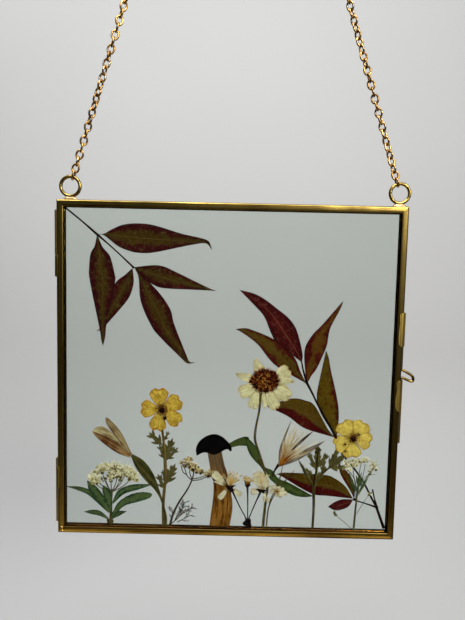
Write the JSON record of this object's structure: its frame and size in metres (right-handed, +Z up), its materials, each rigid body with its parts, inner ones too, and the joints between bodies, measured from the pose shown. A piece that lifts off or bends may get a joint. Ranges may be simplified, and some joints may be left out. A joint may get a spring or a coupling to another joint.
{
  "type": "pressed flower frame",
  "caption": "Hanging brass-edged double-glass frame on a chain, hinged at one side and bolted at the other, holding pressed flowers, leaves and a mushroom.",
  "frame": {"origin": "hanging point, on the inside of the hanging ring at its top", "axes": "+Z up, the front faces -Y, +X to the right of someone looking at the front"},
  "size_m": [0.2106, 0.0079, 0.5135],
  "materials": {
    "frame_brass": "aged, unlacquered, with brown and green-olive tarnish",
    "chain_brass": "bright drawn wire",
    "glass": "clear float glass, faintly green",
    "leaf_olive": "dried leaf, olive with burgundy margins",
    "leaf_red": "dried leaf, burgundy and brown",
    "leaf_green": "dried leaf, dull green",
    "stalk": "dried dark stalk",
    "petal_cream": "papery dried petal",
    "petal_yellow": "papery dried petal, veined",
    "bud_brown": "streaked dried bud",
    "mushroom_flesh": "streaked brown, fibrous",
    "mushroom_cap": "near black, leathery"
  },
  "bodies": {
    "back_pane": {"back_rail_top": "frame_brass", "back_rail_bottom": "frame_brass", "back_rail_left": "frame_brass", "back_rail_right": "frame_brass", "back_glass": "glass", "hinge_top_back_knuckle": "frame_brass", "hinge_top_pin": "frame_brass", "hinge_bottom_back_knuckle_upper": "frame_brass", "hinge_bottom_back_knuckle_lower": "frame_brass", "hinge_bottom_pin": "frame_brass", "latch_keeper": "frame_brass", "ring_left": "frame_brass", "ring_saddle_left": "frame_brass", "ring_right": "frame_brass", "ring_saddle_right": "frame_brass", "hanging_ring": "chain_brass", "chain_left": "chain_brass", "chain_right": "chain_brass", "nandina_left_stem": "stalk", "nandina_left_leaf_1": "leaf_olive", "nandina_left_leaf_2": "leaf_olive", "nandina_left_leaf_3": "leaf_olive", "nandina_left_leaf_4": "leaf_olive", "nandina_left_leaf_5": "leaf_olive", "nandina_right_stem": "stalk", "nandina_right_leaf_1": "leaf_red", "nandina_right_leaf_2": "leaf_red", "nandina_right_leaf_3": "leaf_red", "nandina_right_leaf_4": "leaf_red", "nandina_right_leaf_5": "leaf_red", "nandina_right_leaf_6": "leaf_red", "nandina_right_leaf_7": "leaf_red", "nandina_right_leaf_8": "leaf_red", "cream_daisy_head": "petal_cream", "cream_daisy_stem": "leaf_green", "yellow_flower_left_head": "petal_yellow", "yellow_flower_left_stem": "leaf_green", "yellow_flower_right_head": "petal_yellow", "cut_leaf_plant": "leaf_green", "lily_bud": "bud_brown", "lily_leaf": "leaf_green", "papery_seed_head": "bud_brown", "white_umbel_head": "petal_cream", "white_umbel_stem": "leaf_green", "floret_sprig": "petal_cream", "mushroom_stem": "mushroom_flesh", "mushroom_cap": "mushroom_cap", "blossom_spray": "petal_cream", "small_white_flower": "petal_cream", "white_cluster": "petal_cream"},
    "front_pane": {"front_rail_top": "frame_brass", "front_rail_bottom": "frame_brass", "front_rail_left": "frame_brass", "front_rail_right": "frame_brass", "front_glass": "glass", "hinge_top_front_knuckle": "frame_brass", "hinge_bottom_front_knuckle": "frame_brass", "latch_guide_upper": "frame_brass", "latch_guide_lower": "frame_brass"},
    "bolt": {"latch_bolt": "frame_brass"}
  },
  "joints": [
    {"name": "front_pane_hinge", "type": "hinge", "parent": "back_pane", "child": "front_pane", "pos_m": [-0.09935, -0.00178, -0.41], "axis": [0, 0, -1], "range_deg": [0, 180]},
    {"name": "bolt_slide", "type": "slide", "parent": "front_pane", "child": "bolt", "axis": [0, 0, 1], "range_m": [0, 0.013]}
  ]
}
